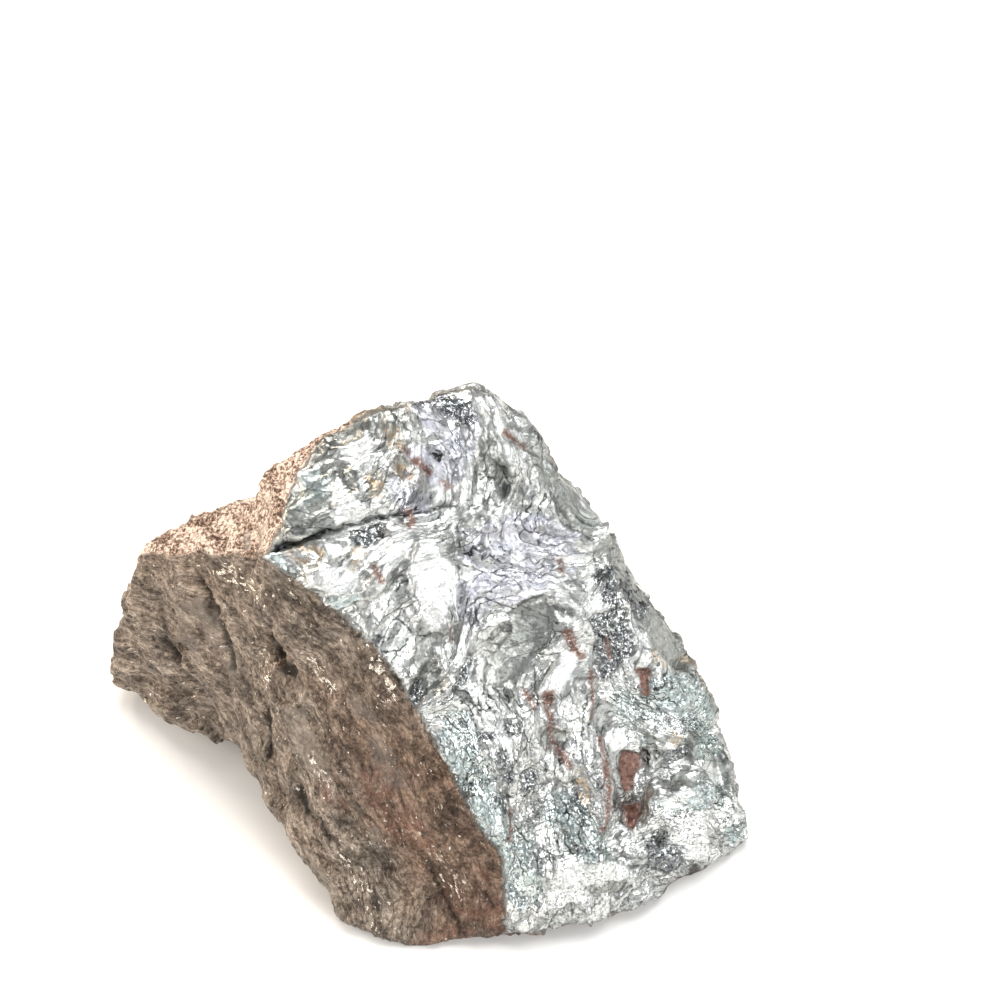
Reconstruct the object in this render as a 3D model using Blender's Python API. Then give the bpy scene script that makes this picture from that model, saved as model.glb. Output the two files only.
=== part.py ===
"""A lump of cast chromium metal, broken from a thick slab: one solid.

A broad bright fracture slopes to the front right, a dull face with a wood-like grain stands at the
front left, and a low shoulder with a granular top sits behind that face. The lump rests on its broken
base at z = 0. The origin is under the middle of the lump's box, and +Z is up. Sizes are in millimetres
until the last step.
"""

import math
import random

import bmesh
import bpy
from mathutils import Matrix, Vector, noise
from mathutils.bvhtree import BVHTree

MM = 0.001

# The lump is the hull of these corners, where its main fractures meet. BELOW is under the cut of the base.
BELOW = -2.0
MAIN_CORNERS = {
    "peak": (6.3, 2.7, 38.0),
    "peak_right": (9.7, 2.0, 35.5),
    "right_upper": (11.6, 0.6, 31.5),
    "right_middle": (21.5, -6.3, 19.0),
    "right_lower": (26.1, -9.3, 13.8),
    "right_foot": (28.3, -12.3, 9.8),
    "front_right": (31.9, -20.4, 1.6),
    "front_middle": (21.2, -27.0, 1.6),
    "ridge_foot": (9.9, -29.9, 3.0),
    "ridge_low": (8.9, -26.9, 8.5),
    "ridge_middle": (3.8, -21.3, 16.0),
    "ridge_bend": (-0.3, -17.1, 23.5),
    "ridge_high": (-4.3, -13.9, 27.5),
    "ridge_top": (-10.7, -10.6, 31.5),
    "rim_left": (-10.1, -2.7, 34.0),
    "rim_middle": (-6.8, -2.2, 36.5),
    "rim_right": (-1.5, 0.0, 38.0),
    "toe_tip": (1.3, -30.7, 0.0),
    "toe_left": (-5.9, -28.2, 1.0),
    "arch_right": (-10.3, -22.4, 3.0),
    "crease_foot": (-14.4, -14.1, 5.5),
    "crease_middle": (-15.0, -11.3, 9.5),
    "crease_top": (-22.0, -4.8, 16.0),
    "back_upper": (2.0, 5.0, 33.0),
    "back_left": (-9.0, 7.5, 21.0),
    "back_middle": (4.0, 12.0, 18.0),
    "back_right": (14.0, 9.0, 12.0),
    "base_toe": (0.5, -28.5, BELOW),
    "base_toe_left": (-5.0, -26.0, BELOW),
    "base_front": (19.8, -25.0, BELOW),
    "base_front_right": (30.8, -19.8, BELOW),
    "base_right": (26.0, -5.0, BELOW),
    "base_back_right": (20.0, 8.0, BELOW),
    "base_back": (6.0, 14.0, BELOW),
    "base_back_left": (-12.0, 12.0, BELOW),
    "base_left": (-11.0, -11.0, BELOW),
}
SHOULDER_CORNERS = {
    "top_left": (-25.6, -1.2, 20.6),
    "top_front": (-18.3, -5.2, 24.5),
    "top_back": (-17.9, 0.9, 24.0),
    "top_right_back": (-11.7, -1.0, 28.5),
    "top_right_front": (-10.7, -9.6, 30.5),
    "end_upper": (-26.2, -1.2, 17.0),
    "end_middle": (-26.6, -2.0, 9.5),
    "end_tip": (-31.2, -4.4, 2.6),
    "arch_left": (-22.6, -9.2, 2.6),
    "arch_top": (-14.6, -13.0, 5.9),
    "back_end": (-26.0, 6.0, 6.0),
    "back_top": (-20.0, 8.0, 14.0),
    "back_inner": (-10.0, 9.0, 16.0),
    "base_end": (-28.0, -1.0, BELOW),
    "base_arch": (-21.0, -5.5, BELOW),
    "base_inner": (-10.0, -6.0, BELOW),
    "base_back_end": (-25.0, 8.0, BELOW),
    "base_back": (-12.0, 12.5, BELOW),
}

# The middle of the lump's box, which becomes the origin.
FOOTPRINT_MIDDLE = (0.19, -8.05)

# The bright fracture's own frame: U runs to its right, V up the slope, and H out of the face.
FACE_CENTRE = Vector((8.0, -13.3, 22.2))
FACE_OUT = Vector((0.40, -0.62, 0.67)).normalized()
FACE_U = Vector((1.0, 0.0, 0.0)).cross(FACE_OUT).cross(FACE_OUT).normalized() * -1.0
FACE_V = FACE_OUT.cross(FACE_U)

# Cleaved blocks that stand proud of the bright fracture: each corner is (U, V, height), and BLOCK_LIFT is how
# far one unit of that height stands out. SUNK is how deep the blocks reach into the body.
BLOCK_LIFT = 1.5
SUNK = 3.0
BRIGHT_BLOCKS = {
    "upper_left": ((-18.4, 9.6, 0.7), (-16.9, 14.6, 0.5), (-14.8, 16.6, 0.5), (-11.5, 18.0, 0.4),
                   (-9.5, 12.5, 0.5), (-14.5, 10.8, 1.1)),
    "under_crack_left": ((-17.8, 7.4, 0.3), (-16.0, 9.3, 0.5), (-13.5, 8.0, 0.9), (-15.0, 5.0, 0.7),
                         (-16.6, 6.0, 0.3)),
    "under_crack_right": ((-14.0, 9.0, 0.4), (-9.0, 10.8, 0.4), (-8.0, 9.0, 0.4), (-10.5, 6.0, 1.0),
                          (-13.5, 4.5, 1.3), (-15.5, 7.0, 0.9)),
    "slab": ((-7.5, 9.0, 0.6), (-5.5, 10.5, 0.7), (-4.0, 7.0, 1.1), (-4.0, 2.5, 1.2), (-6.5, 1.0, 0.6),
             (-9.0, 4.5, 0.4)),
    "wavy_upper": ((-10.0, 19.5, 0.2), (-5.5, 21.0, 0.5), (-2.5, 21.5, 0.6), (-2.0, 15.5, 0.7),
                   (-3.0, 10.5, 0.5), (-5.5, 11.0, 0.3), (-7.0, 17.0, 0.2)),
    "top_right": ((-2.0, 22.0, 0.6), (0.0, 21.5, 0.4), (4.0, 17.0, 0.2), (3.5, 12.5, 0.4), (0.0, 15.5, 0.9)),
    "step_1": ((-2.5, 12.5, 0.3), (5.5, 13.0, 0.3), (6.5, 10.3, 0.9), (-2.0, 10.1, 1.0)),
    "step_2": ((-3.0, 10.0, 0.2), (7.0, 10.0, 0.3), (7.5, 7.9, 0.7), (-2.5, 7.7, 0.8)),
    "step_3": ((-3.0, 7.5, 0.1), (7.5, 7.5, 0.2), (7.0, 4.9, 0.6), (-3.0, 4.8, 0.7)),
    "step_4": ((-2.0, 4.5, 0.1), (7.0, 4.5, 0.2), (5.5, 2.5, 0.5), (0.0, 1.0, 0.6)),
    "rib": ((4.0, 4.0, 0.4), (6.5, 5.0, 0.8), (8.5, 0.5, 1.1), (8.5, -5.0, 1.0), (7.0, -8.5, 0.6),
            (4.5, -6.5, 0.7), (4.0, -1.0, 0.5)),
    "rib_foot": ((5.5, -8.8, 0.5), (9.5, -7.0, 0.9), (10.5, -14.0, 0.7), (9.0, -18.5, 0.4),
                 (6.0, -16.5, 0.4)),
    "right_dark": ((9.5, 7.5, 0.7), (13.5, 4.5, 0.2), (14.5, 0.0, 0.1), (13.5, -2.0, 0.3), (10.0, -0.5, 0.6)),
    "right_plate": ((14.0, 0.0, 0.3), (19.0, -4.0, 0.5), (20.0, -8.5, 0.8), (16.0, -11.0, 0.9),
                    (13.5, -7.0, 0.4)),
    "crystals": ((12.5, -14.5, 0.8), (16.5, -12.5, 1.2), (20.5, -14.0, 0.9), (21.5, -20.0, 0.5),
                 (18.0, -21.5, 0.4), (12.0, -19.0, 0.7)),
    "corner": ((20.0, -13.5, 0.4), (24.0, -15.5, 0.4), (24.5, -18.0, 0.1), (21.5, -20.5, 0.2),
               (20.0, -18.0, 0.9)),
    "lower_strip": ((2.5, -18.5, 0.3), (9.5, -18.5, 0.8), (11.5, -20.5, 0.8), (9.5, -22.5, 0.3),
                    (3.5, -23.5, 0.2)),
    "lower_left": ((-4.0, -7.5, 0.3), (0.0, -8.5, 0.8), (1.5, -15.5, 0.8), (0.0, -17.5, 0.3),
                   (-3.0, -12.5, 0.3)),
    "left_edge": ((-8.5, -0.5, 0.3), (-5.5, 0.5, 0.8), (-4.0, -3.0, 0.9), (-5.5, -5.5, 0.4),
                  (-7.5, -3.5, 0.2)),
    "fan": ((-5.0, -4.0, 0.3), (2.0, -3.5, 0.7), (4.5, -6.5, 0.7), (3.0, -13.0, 0.3), (-2.0, -9.5, 0.2)),
}
# Hollows in the bright fracture: an outline in (U, V), the depth, and the share of it that the floor takes.
BRIGHT_HOLLOWS = {
    "bowl": (((-2.5, 1.0), (2.0, 4.0), (4.0, 1.5), (3.5, -4.5), (0.0, -7.0), (-3.0, -4.0)), 1.1, 0.3),
    "left_pit": (((-8.0, -3.0), (-7.5, -1.0), (-5.5, 0.5), (-6.0, -3.0), (-7.5, -4.5)), 1.3, 0.4),
    "second_pit": (((-4.2, -3.0), (-3.2, 0.2), (-1.3, 0.7), (-1.8, -3.5), (-3.0, -4.7)), 1.4, 0.4),
    "smooth_socket": (((11.8, -9.8), (14.6, -10.2), (14.6, -13.5), (13.6, -16.6), (11.8, -17.0)), 0.9, 0.85),
    "right_recess": (((15.0, -11.5), (20.5, -10.0), (21.0, -11.5), (16.5, -13.7)), 1.3, 0.5),
    "low_recess": (((12.0, -17.2), (16.0, -17.0), (17.0, -18.4), (12.5, -19.0)), 0.8, 0.5),
    "upper_notch": (((-10.0, 16.5), (-8.5, 16.8), (-7.4, 12.0), (-8.4, 11.6)), 1.0, 0.5),
}
# The open crack runs under the upper left block: (U, V) along it from its mouth, and the gap and depth there.
# At its mouth it runs out through the edge of the face. It opens upwards and leans in under the block above.
CRACK = ((-18.7, 8.6, 1.5, 4.2), (-15.0, 10.2, 1.3, 3.2), (-9.0, 11.6, 0.9, 2.1), (-4.5, 12.4, 0.5, 1.0))
CRACK_RUN_OUT = 3.0
CRACK_SIDES = (-0.9, 0.6)
CRACK_LEAN = 0.9

# Pits in the dull face, by X and Z on it, with their half width and depth, and the shape of a pit's mouth.
DULL_PITS = ((-11.7, 22.5, 1.3, 2.0), (-12.9, 20.5, 1.0, 1.6), (-17.4, 20.8, 0.9, 1.5),
             (-10.1, 8.8, 0.9, 1.6), (-8.2, 9.1, 0.8, 1.4))
PIT_MOUTH = ((1.4, 0.3), (0.7, 1.0), (-0.8, 0.9), (-1.4, -0.2), (-0.4, -1.0), (1.0, -0.8))

# Broken blocks are strewn over the other faces, along the grain of the metal. Each row: how many, half
# length, half width and height. A corner is left out where the body is further than FURTHEST_FOOT from it.
# Faces turned more than BRIGHT_LIMIT towards the bright fracture's own direction get none.
GRAIN = Vector((0.55, -0.40, -0.73)).normalized()
SEED = 11
STREWN_BLOCKS = ((46, 5.5, 2.6, 0.7), (110, 2.8, 1.3, 0.6))
STREWN_CORNERS = 6
CORNER_SWAY = 0.3
CORNER_REACH = (0.65, 1.0)
FURTHEST_FOOT = 1.2
BRIGHT_LIMIT = 0.88
BASE_LIMIT = -0.9

# Everything is fused at this fineness, thinned to this many triangles, and only then cut flat underneath.
VOXEL = 0.45
MOST_TRIANGLES = 11000

# Relief that bends every face: size of the pattern and height, from broad swells to small chips.
# Chips are longer along the grain, and each is a small plane that leans its own way.
SWELL = (15.0, 0.75)
LUMPS = (4.5, 0.30)
CHIPS = (2.2, 0.34)
CHIP_STRETCH = 0.55
CHIP_SLOPE = 1.6

# How far cutters reach out of the faces they cut, and a distance that is clear of the whole body.
CLEAR = 4.0
BODY_REACH = 60.0

# Hollows under the lump, so that it stands on the flats between them: centre (X, Y), half sizes, and height.
# Their sides narrow to these shares of the mouth at these shares of the height.
BASE_HOLLOWS = (
    ((-16.0, 3.0), (8.0, 5.0), 2.2),
    ((13.0, -13.0), (10.0, 6.0), 2.6),
    ((5.0, 6.5), (9.0, 4.5), 2.0),
    ((-3.0, -20.5), (3.5, 5.5), 1.6),
    ((24.5, -3.0), (4.5, 5.0), 1.5),
)
HOLLOW_SPOKES = 9
SPOKE_REACH = (0.75, 1.0)
HOLLOW_LEVELS = ((0.95, 0.3), (0.5, 1.0))
CHROMIUM = (0.62, 0.63, 0.64, 1.0)


def clear_scene():
    for obj in list(bpy.data.objects):
        bpy.data.objects.remove(obj)


def add_hull(bm, points):
    """Adds the convex hull of the points to bm as a closed shell of its own."""
    shell = bmesh.new()
    for point in points:
        shell.verts.new(point)
    found = bmesh.ops.convex_hull(shell, input=shell.verts)
    loose = {v for v in found["geom_interior"] + found["geom_unused"] if isinstance(v, bmesh.types.BMVert)}
    bmesh.ops.delete(shell, geom=list(loose), context="VERTS")
    bmesh.ops.recalc_face_normals(shell, faces=shell.faces)
    mesh = bpy.data.meshes.new("shell")
    shell.to_mesh(mesh)
    shell.free()
    bm.from_mesh(mesh)
    bpy.data.meshes.remove(mesh)


def on_face(u, v, height=0.0):
    return FACE_CENTRE + FACE_U * u + FACE_V * v + FACE_OUT * height


def bright_surface(tree, u, v, height):
    """The point over the bright fracture at (u, v), at that height above the bare body."""
    hit = tree.ray_cast(on_face(u, v, BODY_REACH), -FACE_OUT)[0]
    return (hit or on_face(u, v)) + FACE_OUT * height


def add_bright_blocks(bm, tree):
    for corners in BRIGHT_BLOCKS.values():
        top = [bright_surface(tree, u, v, height * BLOCK_LIFT) for u, v, height in corners]
        add_hull(bm, top + [point - FACE_OUT * SUNK for point in top])


def strewn_points(body, count, chance):
    """Points spread by area over all faces but the bright one and the base, each with its face's normal."""
    faces = [f for f in body.faces if f.normal.dot(FACE_OUT) < BRIGHT_LIMIT and f.normal.z > BASE_LIMIT]
    areas = [f.calc_area() for f in faces]
    for face in chance.choices(faces, weights=areas, k=count):
        a, b, c = (v.co for v in face.verts)
        s, t = sorted((chance.random(), chance.random()))
        yield a * s + b * (t - s) + c * (1.0 - t), face.normal.copy()


def strewn_top(tree, chance, centre, out, half_length, half_width, height):
    """The top corners of one strewn block: a ring of points on the body, lifted so that the block tilts."""
    along = GRAIN - out * GRAIN.dot(out)
    along = (along if along.length > 0.2 else out.orthogonal()).normalized()
    across = out.cross(along)
    tilt = Vector((chance.uniform(-1, 1), chance.uniform(-1, 1)))
    top = []
    for corner in range(STREWN_CORNERS):
        angle = math.tau * corner / STREWN_CORNERS + chance.uniform(-CORNER_SWAY, CORNER_SWAY)
        reach = chance.uniform(*CORNER_REACH)
        turn = Vector((math.cos(angle), math.sin(angle)))
        foot = centre + (along * turn.x * half_length + across * turn.y * half_width) * reach
        hit = tree.ray_cast(foot + out * FURTHEST_FOOT, -out, 2.0 * FURTHEST_FOOT)[0]
        if hit:
            top.append(hit + out * height * (0.45 + 0.55 * turn.dot(tilt)))
    return top


def add_strewn_blocks(bm, body, tree):
    chance = random.Random(SEED)
    for count, half_length, half_width, height in STREWN_BLOCKS:
        for centre, out in strewn_points(body, count, chance):
            top = strewn_top(tree, chance, centre, out, half_length, half_width, height)
            if len(top) > 3:
                add_hull(bm, top + [point - out * SUNK for point in top])


def add_hollows(bm, tree):
    """Cutters for the hollows of the bright fracture: an open mouth, and a floor smaller than the mouth."""
    for outline, depth, floor_share in BRIGHT_HOLLOWS.values():
        mouth = [bright_surface(tree, u, v, 0.0) for u, v in outline]
        middle = sum(mouth, Vector()) / len(mouth)
        floor = [middle.lerp(point, floor_share) - FACE_OUT * depth for point in mouth]
        add_hull(bm, mouth + floor + [point + FACE_OUT * CLEAR for point in mouth])


def crack_station(tree, u, v, gap, depth):
    """The three corners of the crack's wedge at one place along it."""
    mouth = bright_surface(tree, u, v, 0.0)
    sides = [mouth + FACE_V * gap * side + FACE_OUT * CLEAR for side in CRACK_SIDES]
    return sides + [mouth + FACE_V * gap * CRACK_LEAN - FACE_OUT * depth]


def add_crack(bm, tree):
    """A thin wedge along the crack, in one stretch for each pair of its stations."""
    stations = [crack_station(tree, *row) for row in CRACK]
    run_out = [point - FACE_U * CRACK_RUN_OUT for point in stations[0]]
    for near, far in zip([run_out] + stations, stations):
        add_hull(bm, near + far)


def add_dull_pits(bm, tree):
    """Cutters for the pits: a leaf-shaped mouth along the grain, and a narrow floor."""
    for x, z, half, depth in DULL_PITS:
        hit, out = tree.ray_cast(Vector((x, -BODY_REACH, z)), Vector((0.0, 1.0, 0.0)))[:2]
        along = (GRAIN - out * GRAIN.dot(out)).normalized()
        across = out.cross(along)
        mouth = [hit + (along * a + across * b) * half for a, b in PIT_MOUTH]
        floor = [hit - out * depth, hit - out * depth + along * half * 0.7]
        add_hull(bm, mouth + floor + [point + out * CLEAR for point in mouth])


def add_base_hollows(bm):
    """Cutters for the base hollows: an uneven mouth below the base, and a smaller ceiling."""
    chance = random.Random(SEED)
    for (x, y), half, height in BASE_HOLLOWS:
        turns = [math.tau * step / HOLLOW_SPOKES for step in range(HOLLOW_SPOKES)]
        spokes = [Vector((half[0] * math.cos(turn), half[1] * math.sin(turn), 0.0)) for turn in turns]
        mouth = [spoke * chance.uniform(*SPOKE_REACH) for spoke in spokes]
        points = [Vector((x, y, 2.0 * BELOW)) + spoke for spoke in mouth]
        for share, level in HOLLOW_LEVELS:
            points += [Vector((x, y, height * level)) + spoke * share for spoke in mouth]
        add_hull(bm, points)


def object_of(bm, name):
    mesh = bpy.data.meshes.new(name)
    bm.to_mesh(mesh)
    bm.free()
    obj = bpy.data.objects.new(name, mesh)
    bpy.context.scene.collection.objects.link(obj)
    return obj


def bake(obj):
    """Makes the object's mesh what its modifiers give, and drops them."""
    graph = bpy.context.evaluated_depsgraph_get()
    mesh = bpy.data.meshes.new_from_object(obj.evaluated_get(graph))
    obj.modifiers.clear()
    old, obj.data = obj.data, mesh
    bpy.data.meshes.remove(old)


def fuse(obj):
    """Makes the shells that overlap one closed skin of even small faces."""
    skin = obj.modifiers.new("fuse", "REMESH")
    skin.mode = "VOXEL"
    skin.voxel_size = VOXEL
    bake(obj)


def relief(point):
    """How far the broken surface stands out at a point, in millimetres."""
    size, height = SWELL
    swell = noise.noise(point / size) * height
    size, height = LUMPS
    lumps = noise.noise(point / size + Vector((7.0, 3.0, 1.0))) * height
    size, height = CHIPS
    stretched = point / size - GRAIN * (point.dot(GRAIN) / size) * CHIP_STRETCH
    centres = noise.voronoi(stretched)[1]
    lean = Vector(noise.cell_vector(centres[0] * 3.0)) - Vector((0.5, 0.5, 0.5))
    chip = (stretched - centres[0]).dot(lean) * CHIP_SLOPE + lean.x
    return swell + lumps + chip * height


def roughen(obj):
    """Moves every point of the fine mesh along its normal by the relief."""
    mesh = obj.data
    moved = [v.co + v.normal * relief(v.co) for v in mesh.vertices]
    for vertex, place in zip(mesh.vertices, moved):
        vertex.co = place


def islands(bm):
    """The sets of points that hang together, the largest last."""
    left, found = set(bm.verts), []
    while left:
        island, edge = set(), [left.pop()]
        while edge:
            vertex = edge.pop()
            island.add(vertex)
            near = {e.other_vert(vertex) for e in vertex.link_edges} & left
            left -= near
            edge += near
        found.append(island)
    return sorted(found, key=len)


def drop_crumbs(bm):
    """Deletes what the cut leaves standing alone. The ceilings of the base hollows face down and stay."""
    for island in islands(bm)[:-1]:
        faces = {face for vertex in island for face in vertex.link_faces}
        if sum(face.normal.z * face.calc_area() for face in faces) > 0.0:
            bmesh.ops.delete(bm, geom=list(island), context="VERTS")


def cut_base(obj):
    """Cuts the lump off flat at z = 0 and closes the cut round the mouths of the base hollows."""
    bm = bmesh.new()
    bm.from_mesh(obj.data)
    everything = bm.verts[:] + bm.edges[:] + bm.faces[:]
    bmesh.ops.bisect_plane(bm, geom=everything, dist=1e-5, plane_co=(0, 0, 0), plane_no=(0, 0, 1),
                           clear_inner=True)
    drop_crumbs(bm)
    rims = [edge for edge in bm.edges if edge.is_boundary]
    bmesh.ops.triangle_fill(bm, edges=rims, use_beauty=True, normal=(0, 0, -1))
    bmesh.ops.triangulate(bm, faces=bm.faces)
    bmesh.ops.recalc_face_normals(bm, faces=bm.faces)
    bm.to_mesh(obj.data)
    bm.free()


def centre_on_footprint(obj):
    """Puts the origin under the middle of the lump, and turns millimetres into metres."""
    x, y = FOOTPRINT_MIDDLE
    obj.data.transform(Matrix.Scale(MM, 4) @ Matrix.Translation((-x, -y, 0.0)))


def metal():
    material = bpy.data.materials.new("chromium")
    material.use_nodes = True
    shader = material.node_tree.nodes["Principled BSDF"]
    shader.inputs["Base Color"].default_value = CHROMIUM
    shader.inputs["Metallic"].default_value = 1.0
    shader.inputs["Roughness"].default_value = 0.38
    return material


def bare_body():
    """The two lumps that the chunk is made of, as hulls that overlap."""
    body = bmesh.new()
    for corners in (MAIN_CORNERS, SHOULDER_CORNERS):
        add_hull(body, [Vector(corner) for corner in corners.values()])
    return body


def cutters_for(tree):
    """Two cutter objects: one with every pit and hollow, and one with the crack."""
    pits, crack = bmesh.new(), bmesh.new()
    add_hollows(pits, tree)
    add_dull_pits(pits, tree)
    add_base_hollows(pits)
    add_crack(crack, tree)
    return [object_of(pits, "hollow_cutters"), object_of(crack, "crack_cutter")]


def cut_away(lump, cutters):
    for cutter in cutters:
        cutter.hide_render = True
        cutter.display_type = "WIRE"
        cut = lump.modifiers.new("cut " + cutter.name, "BOOLEAN")
        cut.operation = "DIFFERENCE"
        cut.object = cutter
        cut.use_self = True
    bake(lump)
    for cutter in cutters:
        bpy.data.objects.remove(cutter)


def thin_out(lump):
    triangles = sum(len(face.vertices) - 2 for face in lump.data.polygons)
    thin = lump.modifiers.new("thin out", "DECIMATE")
    thin.ratio = min(1.0, MOST_TRIANGLES / triangles)
    bake(lump)


def build_lump():
    body = bare_body()
    tree = BVHTree.FromBMesh(body)
    solid = body.copy()
    add_bright_blocks(solid, tree)
    add_strewn_blocks(solid, body, tree)
    body.free()

    lump = object_of(solid, "chromium_chunk")
    fuse(lump)
    cut_away(lump, cutters_for(tree))
    fuse(lump)
    roughen(lump)
    thin_out(lump)
    cut_base(lump)
    centre_on_footprint(lump)
    lump.data.materials.append(metal())


def main():
    clear_scene()
    build_lump()


main()
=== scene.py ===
"""The looks of a broken lump of cast chromium metal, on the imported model.

The lump's skin is remade finer, with terraces, chips, fibres and cracks in it. Weights painted on the skin
say where the metal is bright, dull, warm, rusty or tinted, and one material reads them.
The tables and the skin are in millimetres. The lamps, the floor and the camera are in metres.
"""
import math

import bmesh
import bpy
import numpy as np
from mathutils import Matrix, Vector, noise


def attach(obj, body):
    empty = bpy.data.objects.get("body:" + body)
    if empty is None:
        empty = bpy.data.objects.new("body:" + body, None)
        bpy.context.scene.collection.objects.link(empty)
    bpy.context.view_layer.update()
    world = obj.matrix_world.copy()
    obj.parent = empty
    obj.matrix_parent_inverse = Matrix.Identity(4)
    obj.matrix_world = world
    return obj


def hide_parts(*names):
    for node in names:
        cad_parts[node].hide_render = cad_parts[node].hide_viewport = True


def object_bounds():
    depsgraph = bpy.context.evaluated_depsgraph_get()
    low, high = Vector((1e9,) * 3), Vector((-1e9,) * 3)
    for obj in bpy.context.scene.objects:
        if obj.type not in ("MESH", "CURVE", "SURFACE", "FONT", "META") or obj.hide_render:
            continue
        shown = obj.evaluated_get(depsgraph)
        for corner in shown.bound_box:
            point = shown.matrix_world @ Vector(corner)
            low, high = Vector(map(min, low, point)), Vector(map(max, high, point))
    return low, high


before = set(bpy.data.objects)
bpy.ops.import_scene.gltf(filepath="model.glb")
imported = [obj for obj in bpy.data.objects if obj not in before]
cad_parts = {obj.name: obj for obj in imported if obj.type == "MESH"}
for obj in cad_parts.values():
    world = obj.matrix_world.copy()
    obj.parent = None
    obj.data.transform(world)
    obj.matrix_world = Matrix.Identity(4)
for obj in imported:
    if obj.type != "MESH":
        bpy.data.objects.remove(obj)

CAD_BOX = [list(corner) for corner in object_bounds()]
NODE = "chromium_chunk"
MM = 0.001


class Face:
    """A flat frame on a broken face: U runs to its right, V up the slope, and OUT leaves it."""

    def __init__(self, centre, out, right):
        self.centre = np.array(centre)
        self.out = np.array(out) / np.linalg.norm(out)
        self.u = np.array(right) - np.dot(right, self.out) * self.out
        self.u /= np.linalg.norm(self.u)
        self.v = np.cross(self.out, self.u)

    def coordinates(self, points):
        offset = points - self.centre
        return offset @ self.u, offset @ self.v, offset @ self.out


BRIGHT = Face((7.81, -5.25, 22.2), (0.40, -0.62, 0.67), (1.0, 0.0, 0.0))
DULL = Face((-9.31, -8.19, 18.93), (-0.276, -0.890, 0.364), (0.955, -0.296, 0.0))

# The grain of the metal.
GRAIN = np.array((0.55, -0.40, -0.73)) / np.linalg.norm((0.55, -0.40, -0.73))

# How fine the skin is, how many rounds of averaging round off the coarse facets, and how many give the broad
# direction that each place faces. The base stays flat: the skin is free to move only above these heights.
SKIN_SIZE = 0.32
ROUNDING = 3
BROAD = 28
FREE_ABOVE = (0.05, 0.8)

# How squarely a place must face along each direction to belong to that side, from not at all to fully.
BRIGHT_FACING = (0.35, 0.55)
DULL_FACING = (0.55, 0.75)
SHOULDER_FACING = (0.76, 0.82)
FAR_FACING = (0.38, 0.44)

# The warm crust is granular, and its pale pink-orange on the shoulder and rim is painted sunlight.
# The shoulder's top: the way it faces, how far left it begins, and its height. The rim's crust is higher up.
SHOULDER_OUT = np.array((-0.51, 0.17, 0.845))
SHOULDER_LEFT = (7.9, 9.9)
SHOULDER_HEIGHT = (15.0, 18.0)
RIM_HEIGHT = (26.0, 28.0)

# The back is broken bright metal too, a little duller: the way it faces, how bright it is, where it ends at
# the left, and how ragged that edge is.
FAR_OUT = np.array((0.50, 0.82, 0.27))
FAR_SHARE = 0.85
FAR_EDGE = (-12.0, -11.4)
FAR_RAGGED = 32.0

# The ridge between the bright and the dull face, as (U, V) on the bright face from its top to its foot, how
# sharp it is, and how deep below the face's middle the facets still lie on the face.
RIDGE = (
    (-17.9, 16.5), (-19.9, 8.7), (-17.4, 6.7), (-13.3, 3.3), (-10.8, 0.7), (-9.0, -1.9), (-6.8, -5.9),
    (-4.6, -9.9), (-1.9, -14.9), (0.5, -18.2), (1.1, -20.9), (1.9, -26.0),
)
RIDGE_BLEND = (-0.10, 0.12)
FACE_DEPTH = (-9.0, -7.0)

# Where lines run on the bright face: (centre, direction across the lines, reach of that direction).
BRIGHT_FLOWS = (
    ((0.0, 17.0), (0.93, 0.37), 6.0),
    ((2.0, 6.5), (0.05, 1.0), 5.0),
    ((5.0, -10.0), (0.97, 0.22), 8.0),
    ((-13.0, 14.5), (-0.35, 0.93), 4.5),
    ((-11.0, 4.0), (0.86, -0.5), 5.0),
    ((17.0, 0.0), (0.8, 0.6), 6.0),
    ((17.0, -17.0), (0.3, 0.95), 5.0),
)

# The upper edge of the dull face, as (U, V) on it. Its streaks run parallel to this edge. Then the way along
# the streaks, how much finer the material's pattern is on this face, and where its warm brown band goes from
# full to none away from the edge, and from none to full down from the top.
DULL_EDGE = (
    (-26.0, 13.0), (-14.0, 14.2), (-8.5, 14.0), (-2.9, 13.8), (0.0, 11.4), (4.3, 8.6), (8.7, 3.6),
    (13.3, -4.2), (19.6, -13.4), (20.8, -19.8),
)
DULL_ALONG = (0.62, -0.78)
DULL_FINENESS = (0.8, 1.35, 1.0)
RUDDY_BAND = (5.0, 10.0)
RUDDY_HEIGHT = (27.0, 16.0)

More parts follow.
